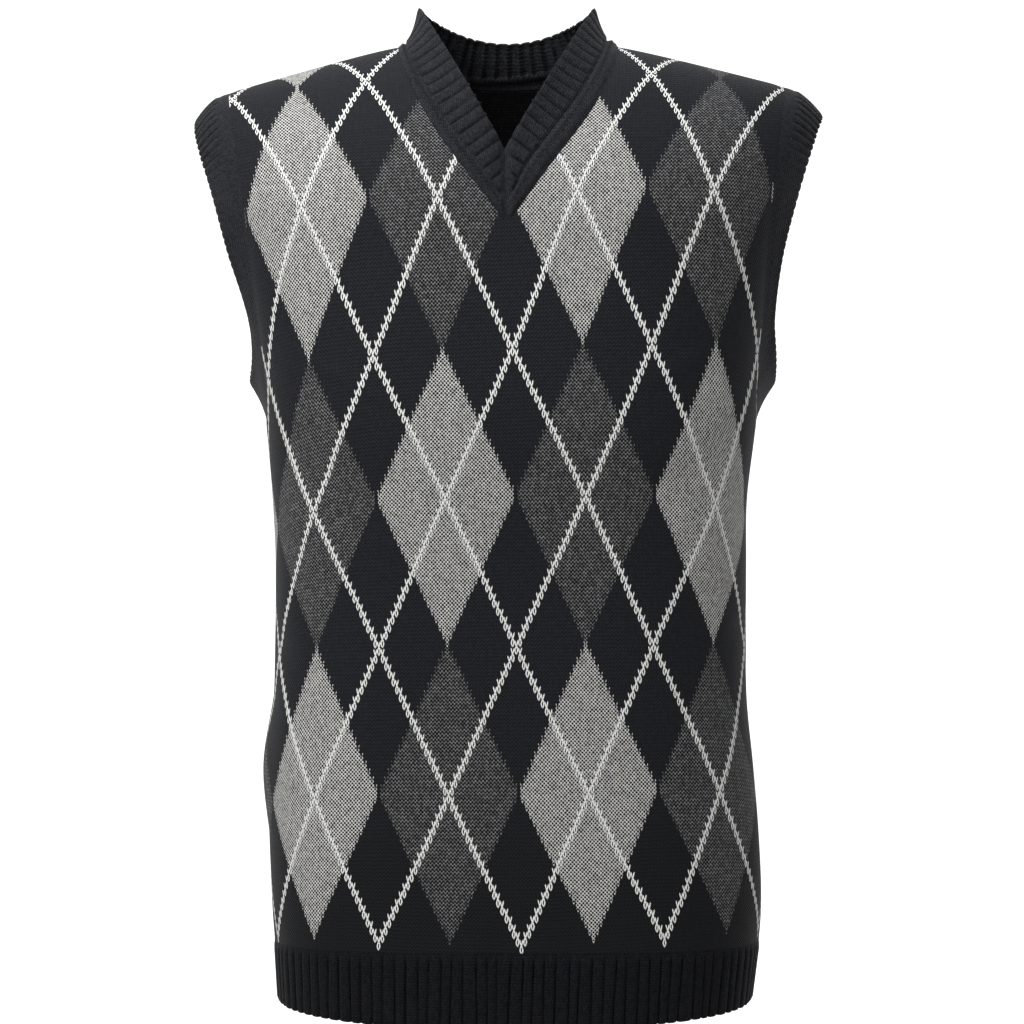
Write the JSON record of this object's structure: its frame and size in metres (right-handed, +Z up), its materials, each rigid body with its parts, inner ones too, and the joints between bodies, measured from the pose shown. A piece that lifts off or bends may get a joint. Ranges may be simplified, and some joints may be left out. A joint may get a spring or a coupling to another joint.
{
  "type": "knitted sweater vest",
  "caption": "Hollow knitted V-neck sweater vest as worn, with an argyle front and back, a ribbed neckband, ribbed armbands and a ribbed hem.",
  "frame": {"origin": "midway between the two points where the shoulders meet the neck, at the level of the shoulder seams there, where the wearer's shoulders carry the vest", "axes": "+Z up towards the head, -Y towards the front of the vest, +X towards the right of someone who looks at the front"},
  "size_m": [0.4395, 0.2344, 0.7002],
  "materials": {
    "argyle_jersey": "matte brushed jersey knit in black, charcoal marl and light grey marl argyle with white overcheck lines",
    "black_rib": "matte black ribbed knit"
  },
  "bodies": {
    "root": {"front_panel": "argyle_jersey", "back_panel": "argyle_jersey", "neckband": "black_rib", "armband_left": "black_rib", "armband_right": "black_rib", "hem_rib_front": "black_rib", "hem_rib_back": "black_rib"}
  },
  "joints": []
}
